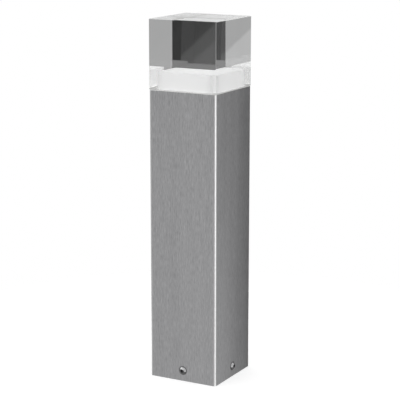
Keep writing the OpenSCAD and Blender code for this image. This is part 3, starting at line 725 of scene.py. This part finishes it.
# Painted shade: the hexagon socket gets a near-black steel that stands in for the shade inside it.
socket_shade_steel = headed_steel("socket_painted_shade", (0.07, 0.07, 0.075), (0.12, 0.12, 0.12), 0.4)
for number in range(4):
    screw = finished_piece(f"side_screw_{number + 1}", button_head())
    turn = number * math.pi / 2
    screw.rotation_euler = (math.pi / 2, 0, turn)
    screw.location = (math.sin(turn) * post_half, -math.cos(turn) * post_half, hole_height)
    bpy.context.view_layer.update()
    smooth_by_angle(screw, 35)
    screw.data.materials.append(screw_steel)
    screw.data.materials.append(socket_shade_steel)
    # The faces inside the socket take the painted shade.
    for face in screw.data.polygons:
        if face.center.z > 0 and face.center.xy.length < socket_flat * 1.2:
            face.material_index = 1
    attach(screw, "root")
    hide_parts("side_screws")


# ---- Floor ----------------------------------------------------------------------------------
# A pale round floor under the light, which fades into the white of the studio all round, so that
# only a soft shadow shows on it.
def fading_floor(radius, full_share=0.25):
    finish, nodes, links, shader = new_finish("pale_floor", roughness=0.8)
    shader.inputs["Base Color"].default_value = (0.64, 0.64, 0.64, 1)
    shader.inputs["Emission Color"].default_value = (1, 1, 1, 1)
    shader.inputs["Emission Strength"].default_value = 0.47
    place = nodes.new("ShaderNodeTexCoord")
    reach = nodes.new("ShaderNodeVectorMath")
    reach.operation = "LENGTH"
    links.new(place.outputs["Object"], reach.inputs[0])
    here = between(nodes, links, reach.outputs["Value"], 1, 0, radius * full_share, radius)
    links.new(here, shader.inputs["Alpha"])
    bpy.ops.mesh.primitive_circle_add(vertices=96, radius=radius, fill_type="NGON")
    floor = bpy.context.object
    floor.name = "floor"
    floor.visible_glossy = False
    floor.visible_transmission = False
    floor.data.materials.append(finish)
    return floor


fading_floor(0.55)


# ---- Studio light ---------------------------------------------------------------------------
# Soft light from all round, as large panels whose places are given by compass angle and height:
# brighter ones above and in front on the left, dim ones low down, a dark cloth behind on the
# right and a narrow lamp that runs a bright line down the post's front corner.
def studio_world(base, panels, gleam, paper_tone=0.84):
    """Each panel is (azimuth, azimuth half-width, elevation, elevation half-width, fade, brightness),
    in degrees, and covers the ones before it. The gleam is one more, which only shows in reflections,
    as a narrow lamp's does. What shows through clear pieces is never brighter than the paper tone, so
    their outlines stay visible."""
    world = bpy.data.worlds.new("studio")
    bpy.context.scene.world = world
    world.use_nodes = True
    nodes, links = world.node_tree.nodes, world.node_tree.links
    nodes.clear()

    def work_out(operation, *values):
        return reckon(nodes, links, operation, *values)

    def window(offset, half_width, fade):
        span = nodes.new("ShaderNodeMapRange")
        span.interpolation_type = "SMOOTHSTEP"
        span.inputs["From Min"].default_value = math.radians(half_width + fade)
        span.inputs["From Max"].default_value = math.radians(max(half_width - fade, 0))
        links.new(work_out("ABSOLUTE", offset), span.inputs["Value"])
        return span.outputs["Result"]

    place = nodes.new("ShaderNodeTexCoord")
    axes = nodes.new("ShaderNodeSeparateXYZ")
    links.new(place.outputs["Generated"], axes.inputs["Vector"])
    azimuth = work_out("ARCTAN2", axes.outputs["Y"], axes.outputs["X"])
    elevation = work_out("ARCSINE", axes.outputs["Z"])
    rise = nodes.new("ShaderNodeMapRange")
    rise.interpolation_type = "SMOOTHSTEP"
    rise.inputs["From Min"].default_value = -0.5
    rise.inputs["From Max"].default_value = 1.0
    rise.inputs["To Min"].default_value = base[0]
    rise.inputs["To Max"].default_value = base[1]
    links.new(axes.outputs["Z"], rise.inputs["Value"])
    total = rise.outputs["Result"]
    path = nodes.new("ShaderNodeLightPath")
    for panel in [*panels, gleam]:
        turn, half_turn, height, half_height, fade, brightness = panel
        around = work_out("WRAP", work_out("SUBTRACT", azimuth, math.radians(turn)), math.pi, -math.pi)
        up = work_out("SUBTRACT", elevation, math.radians(height))
        mask = work_out("MULTIPLY", window(around, half_turn, fade), window(up, half_height, fade))
        if panel is gleam:
            mask = work_out("MULTIPLY", mask, path.outputs["Is Glossy Ray"])
        total = work_out("MULTIPLY_ADD", mask, work_out("SUBTRACT", brightness, total), total)
    unscattered = work_out("LESS_THAN", path.outputs["Diffuse Depth"], 0.5)
    seen_through = work_out("MULTIPLY", path.outputs["Is Transmission Ray"], unscattered)
    held_back = work_out("SUBTRACT", work_out("MINIMUM", total, paper_tone), total)
    total = work_out("MULTIPLY_ADD", seen_through, held_back, total)
    lamp = nodes.new("ShaderNodeBackground")
    links.new(total, lamp.inputs["Strength"])
    paper = nodes.new("ShaderNodeBackground")
    paper.inputs["Color"].default_value = (1, 1, 1, 1)
    paper.inputs["Strength"].default_value = 1.0
    mix = nodes.new("ShaderNodeMixShader")
    links.new(path.outputs["Is Camera Ray"], mix.inputs["Fac"])
    links.new(lamp.outputs["Background"], mix.inputs[1])
    links.new(paper.outputs["Background"], mix.inputs[2])
    out = nodes.new("ShaderNodeOutputWorld")
    links.new(mix.outputs["Shader"], out.inputs["Surface"])


overhead = (0, 180, 90, 30, 12, 0.75)
upper_room = (0, 180, 34, 32, 2, 1.3)
left_key = (-135, 55, 26, 21, 8, 2.1)
lower_room = (0, 180, -14, 20, 6, 0.36)
front_left = (-125, 26, -14, 22, 7, 0.65)
front_left_low = (-125, 26, -30, 15, 5, 0.72)
right_back = (66, 32, -14, 22, 7, 0.46)
right_back_low = (66, 30, -24, 16, 0.7, 0.47)
right_back_foot = (66, 30, -30, 15, 5, 0.80)
dark_cloth = (118, 24, -22, 21, 2, 0.05)
strip_lamp = (-24, 34, -13, 15, 8, 1.55)
studio_world((0.30, 1.0), [overhead, upper_room, left_key, lower_room, front_left, front_left_low,
                           right_back, right_back_low, right_back_foot, dark_cloth], strip_lamp)


# ---- Cards ----------------------------------------------------------------------------------
# Three cards near the light, which only show in its reflections and through the clear block: a
# creased dark cloth behind on the left, a pale card in front on the left and a black one close
# behind the post on the right.
def toned(name, base, patches):
    """A glow of the base tone, with patches over it: each is a tone and the soft edges (across, up,
    edge, softness) that it lies beyond."""
    finish = bpy.data.materials.new(name)
    finish.use_nodes = True
    nodes, links = finish.node_tree.nodes, finish.node_tree.links
    nodes.clear()
    place = nodes.new("ShaderNodeTexCoord")
    total = nodes.new("ShaderNodeValue").outputs["Value"]
    total.default_value = base
    for tone, edges in patches:
        inside = 1.0
        for across, up, edge, softness in edges:
            along = nodes.new("ShaderNodeVectorMath")
            along.operation = "DOT_PRODUCT"
            along.inputs[1].default_value = (across, up, 0)
            links.new(place.outputs["Object"], along.inputs[0])
            side = nodes.new("ShaderNodeMapRange")
            side.interpolation_type = "SMOOTHSTEP"
            side.inputs["From Min"].default_value = edge - softness
            side.inputs["From Max"].default_value = edge + softness
            links.new(along.outputs["Value"], side.inputs["Value"])
            inside = reckon(nodes, links, "MULTIPLY", inside, side.outputs["Result"])
        blend = nodes.new("ShaderNodeMix")
        blend.inputs["B"].default_value = tone
        links.new(total, blend.inputs["A"])
        links.new(inside, blend.inputs["Factor"])
        total = blend.outputs["Result"]
    glow = nodes.new("ShaderNodeEmission")
    links.new(total, glow.inputs["Strength"])
    out = nodes.new("ShaderNodeOutputMaterial")
    links.new(glow.outputs["Emission"], out.inputs["Surface"])
    return finish


def hang_card(name, low, high, y, finish):
    """An upright card at that y, between two (x, z) corners, which no camera or shadow shows."""
    width, height = high[0] - low[0], high[1] - low[1]
    middle = (low[0] + width / 2, y, low[1] + height / 2)
    bpy.ops.mesh.primitive_plane_add(size=1, location=middle, rotation=(math.pi / 2, 0, 0))
    card = bpy.context.object
    card.name = name
    for vertex in card.data.vertices:
        vertex.co.x *= width
        vertex.co.y *= height
    card.data.materials.append(finish)
    card.visible_camera = False
    card.visible_diffuse = False
    card.visible_shadow = False
    return card


creased_cloth = toned("creased_cloth", 0.020, [
    (0.055, [(0.9, -1.02, 0.041, 0.006)]),
    (0.085, [(0.9, -1.02, 0.0725, 0.008)]),
    (0.0, [(-1, 0.03, -0.0258, 0.0006)]),
    (0.17, [(0, -1, 0.030, 0.0008)]),
    (0.17, [(0, -1, 0.026, 0.0008), (-1, 0, -0.040, 0.0006)])])
pale_card = toned("pale_card", 0.38, [(0.49, [(0.9, -1.0, 0.0, 0.004)])])
black_card = toned("black_card", 0.09, [])
hang_card("creased_cloth", (-0.62, 0.26), (-0.18, 0.50), 0.65, creased_cloth)
hang_card("pale_card", (-0.60, 0.25), (-0.25, 0.45), -0.65, pale_card)
hang_card("black_card", (0.058, -0.30), (0.118, 0.398), 0.12, black_card)


# ---- Camera ---------------------------------------------------------------------------------
# A long lens, a little above the light and in front of it to the right. The plain colour curve
# keeps the paper white, and the bounces carry the light through the clear block.
bpy.context.scene.view_settings.view_transform = "Standard"
bpy.context.scene.cycles.max_bounces = 24
bpy.context.scene.cycles.transmission_bounces = 24
bpy.context.scene.cycles.glossy_bounces = 24
lens_data = bpy.data.cameras.new("camera")
lens_data.lens = 132.4
lens_data.sensor_width = 36
camera = bpy.data.objects.new("camera", lens_data)
bpy.context.collection.objects.link(camera)
camera.location = (0.9535, -1.7466, 0.6841)
camera.rotation_euler = (math.radians(90 - 12.37), 0, math.radians(28.65))
bpy.context.scene.camera = camera
